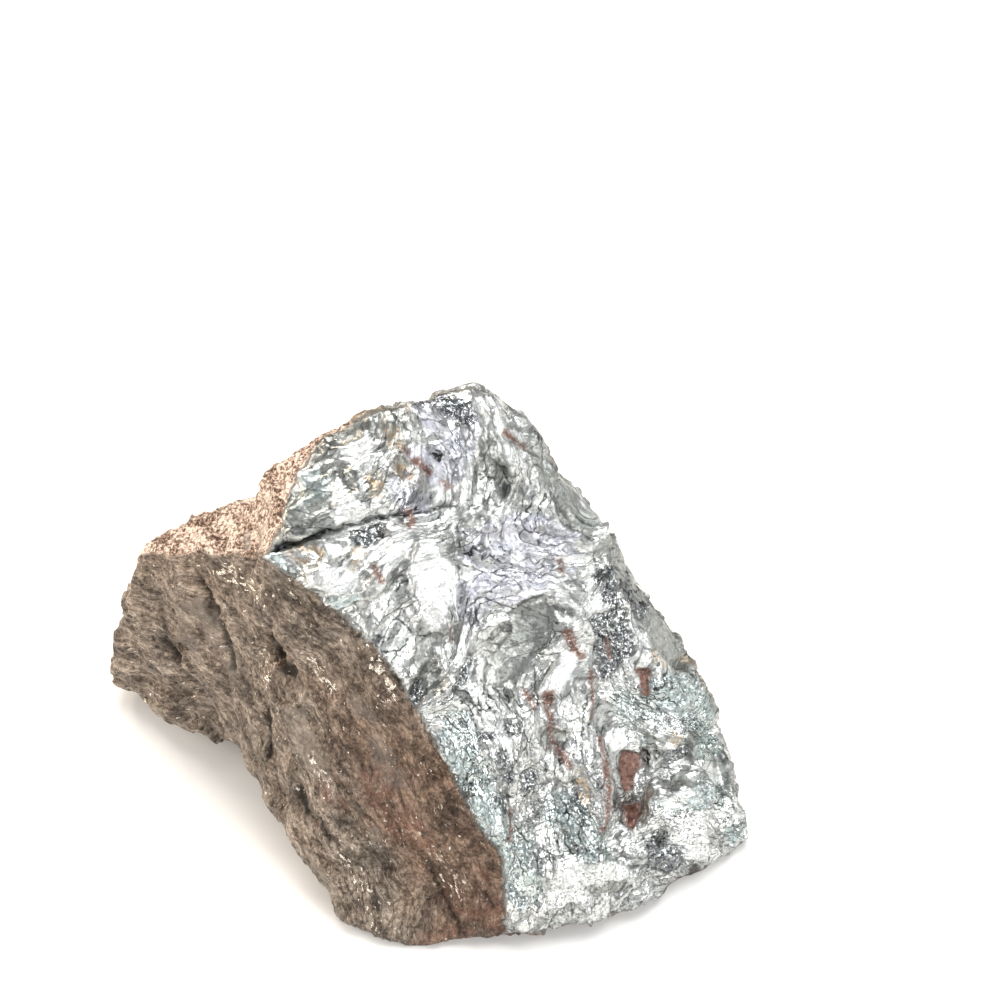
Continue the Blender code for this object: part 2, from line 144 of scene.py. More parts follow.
# Flat facets of the bright face: (tint, how far it faces toward U and V, height above its surroundings,
# corners), how flat they are made, the farthest that one moves the skin, and how soft their edge is.
FACETS = (
    ("white", (0.0, -0.06), 0.25, ((-7.8, 9.3), (-6.7, 9.7), (-5.1, 7.7), (-4.7, 6.1), (-4.8, 4.0),
        (-5.7, 2.3), (-6.5, 2.0), (-7.9, 4.5), (-8.6, 7.1))),
    ("gray", (0.1, 0.3), 0.0, ((-7.9, 0.7), (-6.5, 1.8), (-5.5, 1.8), (-6.2, 0.0), (-7.5, -1.5),
        (-8.6, -1.8))),
    # The dark facets are dark granular metal, and painted shade in pits, ledges and planes facing away from
    # the light.
    ("dark", (-0.2, 0.35), -0.35, ((-8.2, -3.7), (-7.5, -2.5), (-6.6, -2.1), (-6.6, -3.3), (-7.5, -4.1),
        (-8.2, -4.3))),
    ("dark", (-0.25, 0.3), -0.3, ((-4.8, -2.9), (-4.3, -2.0), (-2.5, 0.0), (-2.1, -0.7), (-3.0, -2.8),
        (-4.5, -3.5))),
    ("white", (0.0, 0.0), 0.2, ((-13.9, 17.0), (-13.1, 17.5), (-11.3, 18.1), (-10.8, 17.0), (-11.8, 16.4),
        (-13.7, 16.6))),
    ("white", (0.05, -0.05), 0.2, ((-14.5, 13.6), (-13.7, 14.1), (-11.8, 12.7), (-11.5, 11.2),
        (-14.4, 11.2), (-14.7, 12.9))),
    ("teal", (0.0, 0.15), 0.15, ((-16.9, 15.2), (-15.2, 15.7), (-15.3, 14.5), (-16.7, 14.2))),
    ("gray", (-0.1, 0.32), -0.1, ((-15.0, 14.8), (-13.7, 15.6), (-12.5, 13.9), (-14.3, 13.1), (-15.5, 12.0),
        (-17.9, 10.8), (-18.3, 12.0), (-16.2, 13.5))),
    ("tan", (0.1, 0.2), -0.15, ((-17.6, 9.3), (-16.0, 9.6), (-15.2, 8.9), (-15.7, 7.9), (-16.9, 7.7),
        (-17.5, 8.2))),
    ("teal", (0.0, 0.0), 0.1, ((-20.2, 8.7), (-18.3, 8.8), (-17.9, 7.9), (-18.2, 6.8), (-19.2, 7.4))),
    ("white", (0.0, -0.05), 0.25, ((-16.8, 7.6), (-12.8, 7.8), (-12.2, 5.9), (-13.6, 5.3), (-14.7, 5.5),
        (-16.1, 5.9))),
    ("teal", (0.0, -0.3), 0.0, ((-15.2, 5.0), (-13.6, 5.3), (-12.5, 5.5), (-12.2, 4.7), (-13.8, 4.0),
        (-15.1, 4.4))),
    ("dark", (0.1, 0.2), -0.15, ((-13.1, 10.5), (-10.5, 11.1), (-10.2, 10.0), (-11.8, 9.1), (-12.8, 9.3))),
    ("lavender", (0.05, 0.0), 0.1, ((-8.2, 17.3), (-6.7, 17.6), (-6.5, 16.2), (-7.3, 15.4), (-8.5, 16.5))),
    ("lavender", (0.0, 0.0), 0.1, ((-9.5, 14.8), (-7.3, 15.2), (-7.0, 14.0), (-8.2, 13.0), (-9.7, 14.0))),
    ("gray", (0.25, 0.1), -0.1, ((-0.9, 19.0), (1.2, 19.1), (3.0, 17.6), (3.3, 16.4), (1.3, 17.1),
        (-0.8, 18.3))),
    ("lavender", (0.0, 0.05), 0.15, ((-0.1, 4.3), (4.4, 6.4), (4.4, 4.9), (2.2, 4.2), (0.3, 3.7))),
    ("gray", (-0.3, 0.12), -0.35, ((0.7, 3.0), (2.6, 4.3), (4.4, 4.8), (4.6, 1.9), (3.7, -0.1), (2.3, -2.1),
        (0.3, -3.5), (-1.1, -3.1), (-0.3, -0.4), (1.3, 1.3))),
    ("white", (0.0, -0.05), 0.3, ((3.2, -3.8), (4.8, -0.5), (6.5, 0.2), (6.8, -0.8), (5.9, -2.3),
        (5.0, -3.9), (3.4, -4.4))),
    ("dark", (0.15, 0.2), -0.2, ((8.6, 2.7), (12.1, 3.1), (12.7, -0.6), (10.8, -2.6), (9.3, -3.4),
        (8.6, -0.7))),
    ("rust", (0.0, 0.25), -0.1, ((12.9, -2.3), (14.5, -2.4), (14.2, -3.8), (14.4, -5.0), (13.6, -4.9),
        (13.3, -3.4))),
    ("rust", (0.0, 0.25), -0.1, ((12.0, -10.0), (14.3, -10.2), (14.5, -11.7), (13.7, -12.6), (13.5, -13.7),
        (12.2, -13.8), (12.0, -11.8))),
    ("rust", (0.0, 0.25), -0.1, ((12.3, -14.7), (14.1, -14.8), (13.7, -16.1), (12.8, -17.1),
        (12.3, -16.3))),
    ("white", (0.0, -0.1), 0.35, ((11.8, -17.9), (14.3, -15.6), (15.3, -16.3), (15.1, -17.6), (13.0, -18.8),
        (11.8, -18.6))),
    ("white", (0.05, -0.1), 0.35, ((16.6, -16.3), (19.6, -15.8), (20.3, -18.5), (20.6, -20.7),
        (17.6, -20.0), (16.2, -17.8))),
    ("dark", (0.1, 0.3), 0.2, ((14.1, -17.9), (17.8, -18.8), (18.2, -20.2), (16.6, -21.4), (13.7, -19.9))),
    ("white", (0.0, -0.1), 0.35, ((9.9, -7.9), (12.1, -7.8), (14.1, -8.9), (14.1, -10.1), (10.8, -9.6),
        (9.7, -8.7))),
    ("gray", (0.35, 0.0), -0.2, ((14.7, 3.2), (16.9, 0.9), (19.7, -2.4), (17.9, -3.1), (15.2, -1.0),
        (12.9, 2.8))),
    ("gray", (0.35, 0.0), -0.2, ((17.5, -6.4), (19.3, -9.4), (22.5, -10.9), (23.7, -15.0), (21.7, -14.0),
        (19.7, -11.8), (18.1, -9.3))),
    ("teal", (0.1, -0.05), 0.3, ((18.1, -3.3), (20.8, -4.7), (21.8, -7.9), (21.4, -8.9), (19.3, -7.0))),
    ("dark", (0.0, 0.45), -0.3, ((15.9, -10.3), (18.9, -9.9), (19.3, -10.9), (17.3, -11.6), (15.6, -11.0))),
    ("teal", (0.0, -0.1), 0.2, ((14.1, -14.4), (16.6, -13.9), (19.3, -13.3), (20.5, -12.6), (21.1, -13.9),
        (19.6, -15.6), (15.3, -15.5))),
    ("dark", (-0.2, 0.25), -0.25, ((1.8, -10.8), (3.2, -10.2), (3.6, -11.7), (2.7, -12.8), (2.0, -11.9))),
    ("dark", (-0.2, 0.25), -0.25, ((0.1, -6.1), (1.5, -6.1), (1.6, -7.4), (0.3, -7.3))),
    ("dark", (-0.15, 0.25), -0.2, ((-2.5, -6.7), (-0.7, -6.8), (-0.9, -7.6), (-2.3, -7.5))),
    ("white", (0.0, -0.12), 0.3, ((5.1, -18.4), (7.4, -18.5), (8.3, -20.3), (6.3, -21.3), (4.5, -21.0))),
    ("white", (0.12, -0.04), 0.35, ((8.4, -18.7), (11.3, -19.5), (12.4, -21.0), (9.2, -20.8))),
    ("gray", (-0.1, -0.25), 0.0, ((8.5, -20.9), (12.2, -21.3), (11.0, -22.4), (8.6, -22.2))),
    ("white", (-0.08, -0.1), 0.2, ((4.4, -21.5), (8.0, -21.3), (8.2, -22.6), (3.6, -23.6))),
    ("teal", (-0.1, 0.15), 0.0, ((-1.1, -12.4), (0.1, -13.6), (0.5, -16.3), (-1.1, -15.2))),
)
FLATNESS = 0.75
MOST_LIFT = 0.9
FACET_EDGE = (-0.12, 0.15)

# Tinted places on the bright face: each stroke is (half width, then the points (U, V) along its middle).
ZONES = {
    "rust": (
        (0.36, (-7.4, 16.1), (-6.5, 15.2)), (0.24, (-5.4, 14.4), (-4.8, 14.0)),
        (0.2, (-8.6, 17.2), (-8.1, 16.9)), (0.3, (-8.1, 12.1), (-7.8, 11.1), (-8.2, 10.8)),
        (0.3, (-11.4, 7.6), (-10.9, 6.6)), (0.24, (-4.9, 2.2), (-4.4, 1.1)), (0.22, (5.3, 7.5), (5.7, 6.4)),
        (0.42, (5.5, 1.4), (6.2, 0.0), (6.9, -0.6)),
        (0.34, (4.3, -3.8), (4.1, -5.1), (4.4, -6.8), (5.2, -8.7), (6.2, -10.5)),
        (0.22, (7.7, -2.1), (8.0, -4.0), (8.4, -6.3)),
        (0.24, (8.8, -8.1), (9.3, -11.3), (9.7, -14.0), (9.5, -16.5)), (0.22, (9.9, 0.3), (10.3, -1.1)),
        (0.26, (4.5, 16.8), (5.3, 15.6)), (0.24, (2.3, -3.6), (2.9, -5.0)),
        (0.24, (0.0, 18.5), (1.9, 17.2)), (0.3, (1.2, -14.0), (1.0, -16.5)),
    ),
    "tan": (
        (0.6, (-12.6, 8.8), (-12.9, 7.8)), (0.5, (14.9, -1.4), (15.7, -2.1)),
        (0.5, (16.6, -8.8), (17.2, -9.5)), (0.7, (19.9, -2.2), (21.2, -5.0)),
        (0.5, (18.8, 1.1), (19.5, -0.3)), (0.5, (-8.5, 15.6), (-7.9, 14.6)),
        (0.7, (-11.0, 14.5), (-10.6, 13.8)), (0.45, (7.0, -11.0), (7.9, -13.5)),
        (0.5, (-9.6, 18.6), (-9.0, 17.6)),
    ),
    "lavender": (
        (1.9, (-1.8, 9.0), (1.9, 9.8), (4.7, 8.8)), (1.6, (-2.0, 5.2), (1.9, 6.3), (5.7, 7.5)),
        (1.0, (-3.7, 5.3), (-2.8, 3.1)), (1.6, (-6.3, 20.4), (-3.6, 18.7), (-5.4, 15.4)),
        (1.0, (-8.5, 14.6), (-7.7, 12.5)),
    ),
    "teal": (
        (0.9, (-17.4, 13.1), (-15.8, 13.9)), (0.8, (-19.5, 8.4), (-18.3, 6.8), (-17.5, 5.5)),
        (1.6, (-4.1, -6.5), (-2.8, -10.9), (-0.9, -15.4), (1.2, -19.9)), (1.3, (1.9, -17.5), (2.8, -22.0)),
        (1.8, (13.7, -5.4), (16.2, -4.7), (18.8, -5.8)), (1.3, (15.7, -7.3), (19.9, -7.2)),
        (1.3, (19.9, -7.7), (21.2, -10.6)), (1.2, (11.6, -5.2), (13.7, -9.0)),
        (1.6, (22.1, -15.3), (24.3, -17.9)), (1.7, (5.7, -14.4), (8.7, -18.3)),
    ),
    # Dark granular metal, and painted shade on ledges and planes that face away from the light.
    "dark": (
        (0.8, (12.1, 4.6), (13.6, 2.7)), (0.8, (9.6, 6.0), (10.8, 2.9)), (0.8, (-5.4, 21.2), (-3.5, 20.0)),
        (0.5, (-0.5, -8.5), (0.8, -11.0)), (0.4, (-0.2, -12.5), (0.3, -14.0)),
        (0.4, (6.6, -11.6), (7.6, -15.6)),
    ),
    # Gray metal, and painted shade on the upper-left block, the right band and the bowl, which face away
    # from the light.
    "gray": (
        (1.2, (1.4, -1.0), (0.5, -3.5)), (1.6, (3.5, 17.5), (5.0, 14.0), (7.5, 10.5)),
        (1.9, (11.2, 7.9), (15.0, 3.2), (19.2, -1.6), (21.4, -5.8)),
        (1.7, (20.0, -9.4), (22.5, -14.3), (24.0, -17.2)),
        (1.0, (-9.0, 19.9), (-13.0, 18.6), (-15.6, 17.0)),
        (1.3, (-18.0, 11.5), (-15.5, 13.3), (-14.0, 12.2)), (0.7, (-15.5, 15.6), (-13.0, 15.0)),
        (0.8, (-12.5, 12.4), (-10.6, 14.8)), (0.9, (-19.2, 10.2), (-15.6, 11.6)),
        (0.7, (-2.0, 17.5), (2.0, 12.0), (6.0, 8.8)),
    ),
    # Painted highlight: facets turned to the light are painted near white, brighter than the metal itself.
    "white": (
        (0.8, (-9.4, 9.3), (-9.0, 8.0)), (0.7, (8.6, 5.2), (9.6, 3.8)), (0.8, (14.1, -8.1), (16.8, -7.6)),
        (1.0, (9.7, -20.3), (5.7, -20.6)), (1.2, (20.9, -16.7), (23.8, -16.4)),
        (0.9, (18.5, -12.5), (22.5, -13.3)), (0.6, (-1.8, 21.1), (-0.7, 19.1)),
        (0.5, (-1.4, -7.2), (0.0, -7.9)), (0.6, (15.8, -14.6), (17.8, -13.9)),
        (0.7, (5.7, 7.5), (4.7, 4.9)),
    ),
    # The rim's warm crust, its pale pink-orange painted sunlight.
    "warm": (
        (1.5, (-19.6, 12.0), (-18.3, 15.6), (-15.9, 18.4)), (0.9, (-15.2, 18.0), (-13.4, 19.4)),
    ),
}

# The same on the dull face, with (U, V) on that face.
DULL_ZONES = {
    "ash": (
        (0.55, (8.3, -10.3), (8.6, -11.9)), (0.5, (2.1, -14.7), (5.6, -17.7)),
        (1.2, (0.2, -1.5), (2.6, -5.0)), (1.3, (-11.5, 3.0), (-8.0, -0.5)), (0.8, (7.5, -1.5), (9.5, -5.0)),
        (1.6, (0.7, -17.1), (6.9, -22.2)), (1.0, (-14.1, 2.0), (-12.4, -2.0)),
        (0.6, (5.2, 2.2), (7.0, 0.2)),
    ),
    # Painted shade: the dull face's pits and cracks, painted near black as the shade that falls in them.
    "hollow_shade": (
        (0.45, (-8.9, 2.9), (-8.0, 1.6)), (0.7, (-3.0, 4.2), (-1.4, 2.4)),
        (0.45, (0.9, -8.7), (1.6, -10.8)), (0.45, (3.4, -10.3), (4.4, -12.0)),
        (0.25, (-11.6, 5.8), (-8.4, 1.4), (-7.6, -1.0)), (0.25, (-4.3, -1.6), (-3.3, -5.3), (-2.9, -8.1)),
        (0.12, (12.9, -12.5), (15.0, -16.0), (17.3, -19.4)), (0.2, (18.5, -14.5), (19.4, -16.0)),
        (0.4, (-16.5, -3.2), (-14.5, -4.6)), (0.25, (7.0, 6.9), (9.0, 4.3)),
    ),
    "red": (
        (1.2, (14.2, -20.6), (17.0, -19.6)), (1.6, (8.0, -4.6), (9.0, -8.0), (12.0, -10.0)),
        (1.0, (15.5, -15.5), (17.8, -17.0)), (1.2, (18.2, -13.5), (20.0, -17.5)),
        (0.8, (3.0, -6.5), (5.2, -8.8)),
    ),
    # Painted glints: where pale glinting specks are painted on the dull face.
    "glint": (
        (0.9, (-8.9, 8.7), (-3.5, 8.8)), (0.9, (-5.2, 3.2), (-3.9, 0.9)), (0.8, (2.5, -4.1), (3.5, -6.0)),
        (0.7, (6.0, 7.2), (8.2, 3.4)), (0.8, (4.8, -13.4), (8.2, -15.9)), (0.6, (0.6, 5.2), (3.0, 2.6)),
        (0.7, (13.5, -11.0), (16.5, -14.5)), (0.5, (-11.0, 7.0), (-9.8, 8.0)),
    ),
}

# How wide the soft edge of a tinted place is, and the tints that are painted only on the bright metal.
ZONE_EDGE = 0.35
BRIGHT_TINTS = ("rust", "tan", "lavender", "teal", "dark", "gray", "white")

# Thin cracks in the bright face: (half width, depth, then the points (U, V) along it).
FISSURES = (
    (0.3, 0.9, (-20.5, 8.5), (-17.4, 9.5), (-14.9, 10.5)),
    (0.16, 0.9, (-14.9, 10.5), (-12.8, 11.1), (-10.7, 11.4), (-9.0, 11.6)),
    (0.12, 0.7, (-9.0, 11.6), (-7.2, 11.9), (-5.4, 12.2), (-4.0, 12.4)),
    (0.22, 0.5, (-8.6, 11.6), (-8.1, 12.9), (-7.9, 13.9)),
    (0.18, 0.35, (-15.2, 16.9), (-13.2, 16.4), (-10.7, 16.9), (-8.1, 17.6), (-5.3, 18.0)),
    (0.3, 0.5, (-4.0, 9.5), (-3.7, 6.1), (-3.9, 2.8), (-4.4, 1.1)),
    (0.18, 0.25, (-14.6, 4.6), (-12.9, 4.9), (-10.3, 6.8), (-7.2, 8.4)),
    (0.22, 0.4, (0.0, 7.0), (2.8, 6.5), (5.7, 6.6), (7.6, 5.2)),
    (0.22, 0.4, (4.2, 7.5), (7.1, 3.9), (10.1, 0.2), (12.1, -2.6), (12.8, -5.3)),
    (0.22, 0.4, (-3.2, 12.8), (-1.8, 11.1), (-2.2, 9.0)),
    (0.22, 0.4, (5.7, 12.2), (9.6, 7.3)),
)

# Relief of the fine skin: the size of each pattern and its height. Chips also have the share by which clean
# bright metal has less of them. Fibres are drawn out by FIBRE_STRETCH. The pits are PIT_DEPTH deep, and
# shade is painted into them.
CHIPS = ((1.5, 0.24, 0.15), (0.75, 0.16, 0.75))
PLATES = (2.2, 0.66)
TERRACE = (0.95, 0.30)
FOLDS = (2.2, 0.22)
LUMPS = (2.4, 0.30)
DULL_PLATES = (2.6, 0.55)
FIBRES = (0.80, 0.09)
GRAINS = (0.55, 0.20)
FIBRE_STRETCH = 0.72
PIT_DEPTH = 0.35

# Colours of the metal and the floor. A ramp is a row of (position, colour).
CLEAN_METAL = ((0.10, (0.36, 0.372, 0.368)), (0.42, (0.62, 0.63, 0.61)), (0.74, (0.92, 0.93, 0.90)))
# Gray metal, which also paints the shade on planes that face away from the light.
GRAY_METAL_AND_SHADE = (0.27, 0.28, 0.26)
LAVENDER = (0.57, 0.57, 0.67)
TEAL = (0.50, 0.64, 0.635)
# Painted highlight on facets that face the light, whiter than the metal's own colour.
WHITE_METAL_AND_HIGHLIGHT = (0.95, 0.96, 0.94)
# Dark granular metal, which also paints shade in pits, ledges and planes facing away from the light.
DARK_CRYSTALS_AND_SHADE = (0.10, 0.108, 0.12)
# The dark lines' colour, which also paints the shade in the cracks.
DARK_LINES = (0.035, 0.037, 0.038)
RUST = ((0.36, (0.060, 0.030, 0.022)), (0.62, (0.25, 0.125, 0.092)))
TAN = (0.46, 0.36, 0.25)
DULL_METAL = ((0.38, (0.058, 0.042, 0.030)), (0.49, (0.250, 0.190, 0.145)), (0.60, (0.49, 0.41, 0.335)))
PLAIN_TINT = (1.04, 1.04, 1.02)
RUDDY_TINT = (0.90, 0.74, 0.64)
# Painted shade in the dull face's small pits and crevices.
SMALL_PIT_SHADE = (0.035, 0.026, 0.021)
ASH = (0.38, 0.325, 0.275)
DULL_RED = (0.25, 0.11, 0.075)
# Painted shade in the dull face's pits and cracks.
HOLLOW_SHADE = (0.030, 0.026, 0.021)
# Painted glints: a pale colour, also made fully metallic and smoother.
GLINT = (0.97, 0.88, 0.76)
# The crust's granular browns, with its palest pink-orange standing in as painted sunlight.
SUNLIT_CRUST = ((0.40, (0.060, 0.030, 0.019)), (0.49, (0.42, 0.265, 0.185)), (0.57, (0.95, 0.80, 0.68)))
FLOOR = ((0.3, (0.86, 0.855, 0.845)), (0.7, (0.89, 0.885, 0.875)))

# The material's patterns: the scale of each along, across and out of the flow, and its cells per millimetre.
# The wavy lines lie LINE_PITCH apart. BUMP_HEIGHT is in metres, for a height of 1 in the pattern.
SLABS = ((0.42, 1.15, 0.8), 0.75)
FLAKES = ((0.55, 1.0, 0.8), 2.1)
STREAKS = (0.74, 0.95, 0.85)
LINE_STRETCH = (0.35, 1.0, 0.5)
LINE_PITCH = 0.62
BUMP_HEIGHT = 0.00030

# Lamps: (name, azimuth, elevation, distance, size, power, colour). Azimuth 0 is the camera's side, 90 right.
LAMPS = (
    ("right_softbox", 56, 28, 0.5, (0.20, 0.32), 0.95, (1.0, 1.0, 0.98)),
    ("front_strip", 18, 30, 0.5, (0.07, 0.34), 0.36, (0.98, 0.99, 1.0)),
    ("side_strip", 98, 26, 0.5, (0.07, 0.34), 0.36, (0.96, 0.98, 1.0)),
    ("left_fill", -45, 16, 0.6, (0.25, 0.20), 0.65, (1.0, 0.98, 0.95)),
    ("top_softbox", 165, 68, 0.6, (0.5, 0.35), 3.8, (1.0, 0.995, 0.98)),
    ("shadow_fill", -100, 24, 0.6, (0.35, 0.25), 2.3, (1.0, 0.87, 0.72)),
    ("warm_back_lamp", -140, 38, 0.6, (0.12, 0.12), 0.9, (1.0, 0.84, 0.66)),
)
LAMP_AIM = Vector((0.0, 0.0, 0.015))
SKY_COLOUR = (0.95, 0.97, 1.0, 1.0)
SKY_STRENGTH = 0.40
FLOOR_SIZE = 3.0
CAMERA_AIM = Vector((0.00781, 0.03005, 0.0))
CAMERA_ELEVATION = 50.0
CAMERA_DISTANCE = 0.158
LENS = 50.0


def smooth_step(values, low, high):
    share = np.clip((values - low) / (high - low), 0.0, 1.0)
    return share * share * (3.0 - 2.0 * share)


def noise_at(points, size, shift=0.0):
    """Smooth noise, about -1 to 1, at each point, for a pattern of that size."""
    moved = points / size + shift
    return np.array([noise.noise(Vector(p)) for p in moved])


def chip_relief(points, shift):
    """Small planes that each lean their own way: 0 on average, about 0.5 at most."""
    heights = np.empty(len(points))
    for index, p in enumerate(points + shift):
        centre = noise.voronoi(Vector(p))[1][0]
        lean = noise.cell_vector(centre * 3.0) - Vector((0.5, 0.5, 0.5))
        heights[index] = (Vector(p) - centre).dot(lean) * 1.6 + lean.x * 0.6
    return heights


def path_distance(u, v, path):
    """Distance of each (u, v) to a path of straight stretches, and its side: 1 to the right of it, or -1."""
    nearest = np.full(len(u), 1e9)
    side = np.zeros(len(u))
    for (u0, v0), (u1, v1) in zip(path, path[1:]):
        du, dv = u1 - u0, v1 - v0
        share = np.clip(((u - u0) * du + (v - v0) * dv) / (du * du + dv * dv), 0.0, 1.0)
        away = np.hypot(u - u0 - share * du, v - v0 - share * dv)
        closer = away < nearest
        nearest = np.where(closer, away, nearest)
        side = np.where(closer, np.sign((v - v0) * du - (u - u0) * dv), side)
    return nearest, side


def inside(u, v, corners):
    """Whether each (u, v) lies inside the closed outline."""
    found = np.zeros(len(u), bool)
    for (u0, v0), (u1, v1) in zip(corners, corners[1:] + corners[:1]):
        if v0 != v1:
            found ^= ((v0 > v) != (v1 > v)) & (u < u0 + (v - v0) * (u1 - u0) / (v1 - v0))
    return found


class Skin:
    """The fine mesh of the lump, as arrays in millimetres."""

    def __init__(self, mesh):
        self.mesh = mesh
        count = len(mesh.vertices)
        self.points = np.empty(count * 3)
        mesh.vertices.foreach_get("co", self.points)
        self.points = self.points.reshape(-1, 3)
        edges = np.empty(len(mesh.edges) * 2, int)
        mesh.edges.foreach_get("vertices", edges)
        self.edges = edges.reshape(-1, 2)
        self.degree = np.bincount(self.edges.ravel(), minlength=count)[:, None]

    def spread(self, values, rounds):
        """The values averaged with their neighbours', that many times."""
        values = values.copy()
        a, b = self.edges.T
        for _ in range(rounds):
            total = np.zeros_like(values)
            for column in range(values.shape[1]):
                total[:, column] = np.bincount(a, values[b, column], len(values))
                total[:, column] += np.bincount(b, values[a, column], len(values))
            values = (values + total / self.degree) / 2.0
        return values

    def normals(self):
        self.store_points()
        found = np.empty(len(self.points) * 3)
        self.mesh.vertex_normals.foreach_get("vector", found)
        return found.reshape(-1, 3)

    def store_points(self):
        self.mesh.vertices.foreach_set("co", self.points.ravel())
        self.mesh.update()

    def store(self, name, values):
        kind = "FLOAT" if values.ndim == 1 else "FLOAT_VECTOR"
        layer = self.mesh.attributes.new(name, kind, "POINT")
        layer.data.foreach_set("value" if values.ndim == 1 else "vector", values.ravel().astype(np.float32))


def fine_copy():
    """A copy of the lump's solid in millimetres, with a skin of small even faces."""
    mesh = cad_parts[NODE].data.copy()
    mesh.materials.clear()
    shell = bmesh.new()
    shell.from_mesh(mesh)
    bmesh.ops.remove_doubles(shell, verts=shell.verts, dist=1e-6)
    bmesh.ops.scale(shell, vec=(1.0 / MM,) * 3, verts=shell.verts)
    shell.to_mesh(mesh)
    shell.free()
    obj = bpy.data.objects.new("chromium_surface", mesh)
    bpy.context.scene.collection.objects.link(obj)
    remesh = obj.modifiers.new("even faces", "REMESH")
    remesh.mode = "VOXEL"
    remesh.voxel_size = SKIN_SIZE
    graph = bpy.context.evaluated_depsgraph_get()
    fine = bpy.data.meshes.new_from_object(obj.evaluated_get(graph))
    obj.modifiers.clear()
    obj.data = fine
    bpy.data.meshes.remove(mesh)
    return obj


def round_facets(skin):
    """Rounds off the solid's coarse facets above the base. Gives how free each point is to move."""
    free = smooth_step(skin.points[:, 2], *FREE_ABOVE)[:, None]
    skin.points += (skin.spread(skin.points, ROUNDING) - skin.points) * free
    return free


def bright_coordinates(u, v, h, points):
    """Coordinates along the bright face's lines, across them, and out of it, with the lines made wavy."""
    along, across, total = np.zeros(len(u)), np.zeros(len(u)), np.zeros(len(u))
    for (cu, cv), (nu, nv), reach in BRIGHT_FLOWS:
        length = math.hypot(nu, nv)
        nu, nv = nu / length, nv / length
        weight = np.exp(-((u - cu) ** 2 + (v - cv) ** 2) / (reach * reach)) + 1e-6
        across += weight * ((u - cu) * nu + (v - cv) * nv)
        along += weight * ((u - cu) * nv - (v - cv) * nu)
        total += weight
    wave = noise_at(points, 3.2) * 0.40 + noise_at(points, 1.1, 5.0) * 0.10
    return np.column_stack((along / total, across / total + wave, h))


def dull_coordinates(u, v, h, points):
    """Coordinates along the dull face's streaks, across them, and out of it, with the streaks made wavy."""
    away = path_distance(u, v, DULL_EDGE)[0]
    wave = noise_at(points, 4.5) * 0.9 + noise_at(points, 1.4, 5.0) * 0.16
    return np.column_stack((u * DULL_ALONG[0] + v * DULL_ALONG[1], away + wave, h))


def zone_weights(u, v, points, zones):
    """How strongly each point lies in each tinted zone, with ragged edges."""
    ragged = noise_at(points, 0.9, 3.0) * 0.55 + noise_at(points, 0.35, 8.0) * 0.35
    weights = {}
    for name, strokes in zones.items():
        weights[name] = np.zeros(len(u))
        for half_width, *path in strokes:
            away = path_distance(u, v, path)[0] + ragged * min(1.0, half_width)
            weight = 1.0 - smooth_step(away, half_width - ZONE_EDGE / 2, half_width + ZONE_EDGE / 2)
            weights[name] = np.maximum(weights[name], weight)
    return weights


def lay_facets(u, v, h, on_face, points, weights):
    """Adds the facets' tints to the weights. Gives how flat each point lies, and how far it moves out."""
    u = u + noise_at(points, 0.6, 1.0) * 0.14
    v = v + noise_at(points, 0.6, 4.0) * 0.14
    flat, moved = np.zeros(len(u)), np.zeros(len(u))
    for tint, (face_u, face_v), lift, corners in FACETS:
        away = path_distance(u, v, corners + corners[:1])[0]
        mask = smooth_step(np.where(inside(u, v, corners), away, -away), *FACET_EDGE)
        share = mask * on_face + 1e-9
        middle_u, middle_v, middle_h = (np.average(values, weights=share) for values in (u, v, h))
        plane = middle_h + lift - face_u * (u - middle_u) - face_v * (v - middle_v)
        move = mask * FLATNESS * np.clip(plane - h, -MOST_LIFT, MOST_LIFT)
        moved = np.where(mask > 0.0, move, moved)
        flat = np.maximum(flat, mask)
        weights[tint] = np.maximum(weights[tint], mask)
    return flat, moved


def fissure_depth(u, v, points):
    """How deep the thin cracks are at each point, with a little sway in their lines."""
    sway = noise_at(points, 1.2, 2.0) * 0.25
    depth = np.zeros(len(u))
    for half_width, deep, *path in FISSURES:
        away = path_distance(u + sway, v + sway, path)[0]
        depth = np.maximum(depth, deep * (1.0 - smooth_step(away, 0.0, half_width * 1.6)))
    return depth


